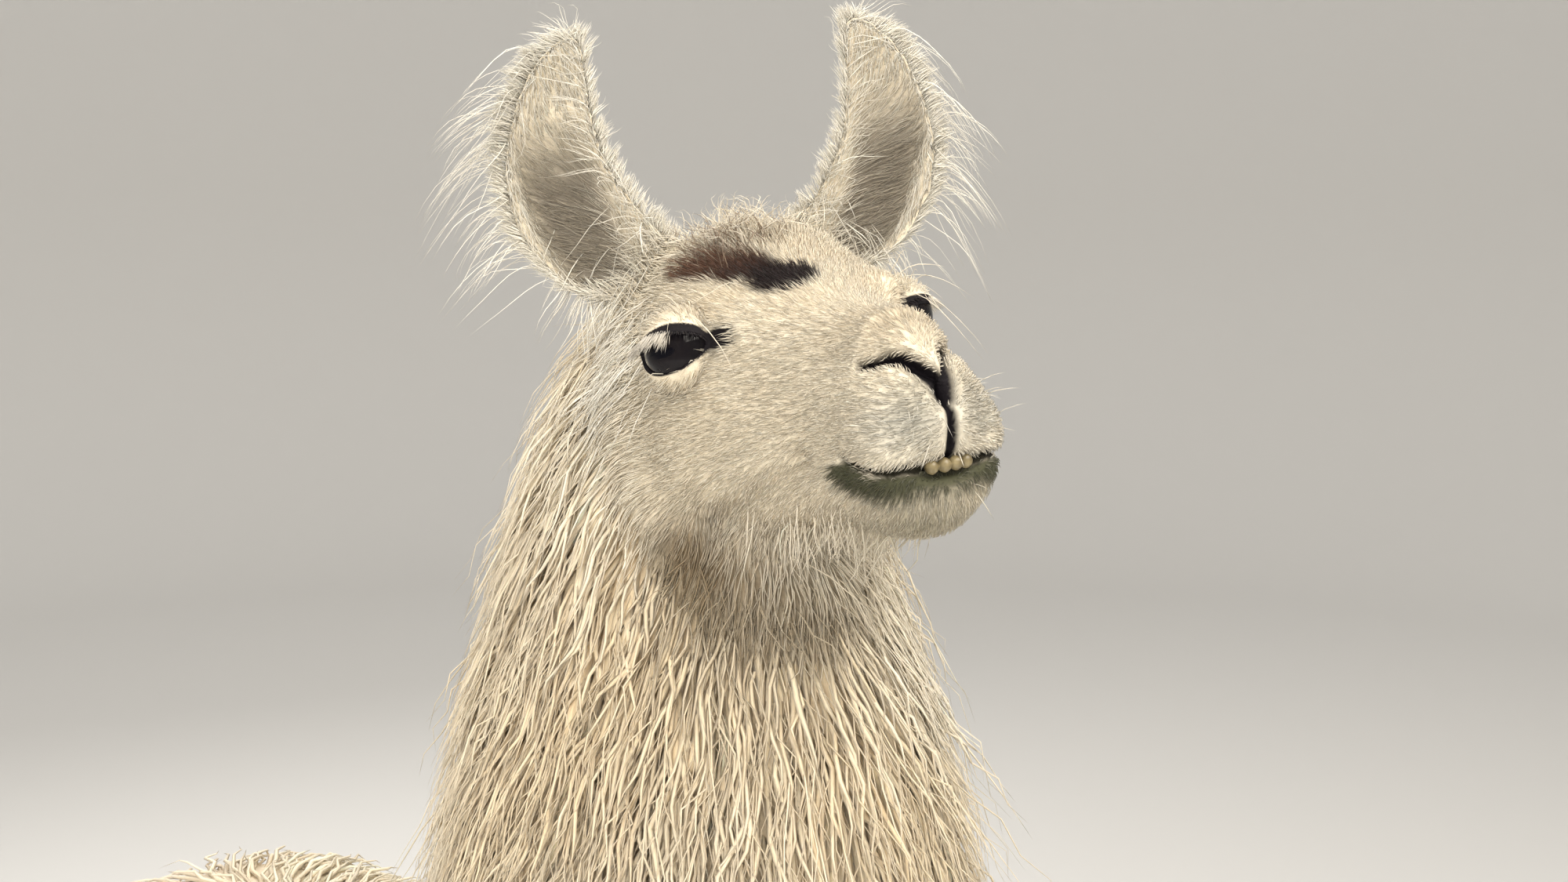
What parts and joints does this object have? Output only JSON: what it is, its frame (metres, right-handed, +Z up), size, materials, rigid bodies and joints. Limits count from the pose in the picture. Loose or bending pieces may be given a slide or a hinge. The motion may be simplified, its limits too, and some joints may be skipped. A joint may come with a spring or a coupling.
{
  "type": "llama",
  "caption": "Standing adult llama in full wool, a still life-size animal model with its head turned a little to its right and its ears up.",
  "frame": {"origin": "on the floor, below the middle of the animal's bounding box", "axes": "+Z up, the animal's body faces -Y, its left side is +X"},
  "size_m": [0.4972, 1.294, 1.7864],
  "materials": {
    "wool": "long cream wool, matt",
    "face_fur": "short pale fur, matt",
    "eye": "very dark brown, wet gloss",
    "horn": "dark horn, satin",
    "enamel": "yellowed tooth enamel, satin"
  },
  "bodies": {
    "root": {"head": "face_fur", "neck": "wool", "trunk": "wool", "tail": "wool", "ear_left": "face_fur", "ear_right": "face_fur", "eye_left": "eye", "eye_right": "eye", "teeth_lower": "enamel", "leg_front_left": "wool", "leg_front_right": "wool", "leg_hind_left": "wool", "leg_hind_right": "wool", "nail_front_left_inner": "horn", "nail_front_left_outer": "horn", "nail_front_right_inner": "horn", "nail_front_right_outer": "horn", "nail_hind_left_inner": "horn", "nail_hind_left_outer": "horn", "nail_hind_right_inner": "horn", "nail_hind_right_outer": "horn"}
  },
  "joints": []
}
